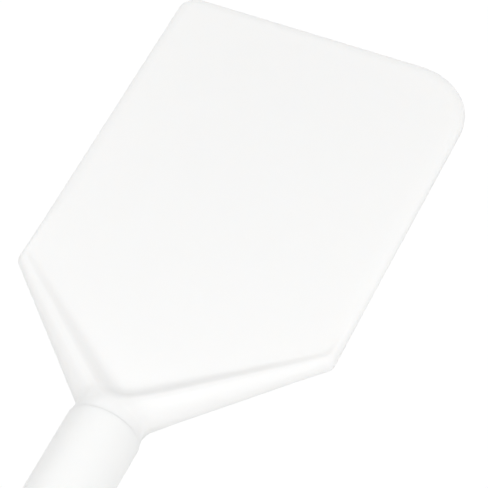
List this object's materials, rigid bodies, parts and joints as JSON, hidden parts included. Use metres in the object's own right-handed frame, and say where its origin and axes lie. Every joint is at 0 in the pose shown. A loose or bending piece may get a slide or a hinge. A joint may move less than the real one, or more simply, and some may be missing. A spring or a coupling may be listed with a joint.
{
  "type": "paddle bench scraper",
  "caption": "Stiff moulded paddle scraper with a flat bevelled blade, tapered stiffening ribs and a straight round hollow handle with a hang hole.",
  "frame": {"origin": "centre of the hang hole in the end cap, on the mid plane of the tool", "axes": "+Y along the handle from the butt to the scraping edge, +Z square to the blade faces and along the hang hole, +X across the blade towards its large rounded corner"},
  "size_m": [0.1142, 0.3429, 0.0254],
  "materials": {
    "nylon_head": "satin moulded nylon, natural white",
    "handle_plastic": "satin extruded polypropylene, white",
    "cap_plastic": "fine-textured moulded polypropylene, white",
    "pin_plastic": "plain nylon rod, white",
    "seal_rubber": "white food-grade silicone"
  },
  "bodies": {
    "root": {"paddle_head": "nylon_head", "handle_tube": "handle_plastic", "end_cap": "cap_plastic", "tang_pin": "pin_plastic", "neck_seal": "seal_rubber", "cap_seal": "seal_rubber"}
  },
  "joints": []
}
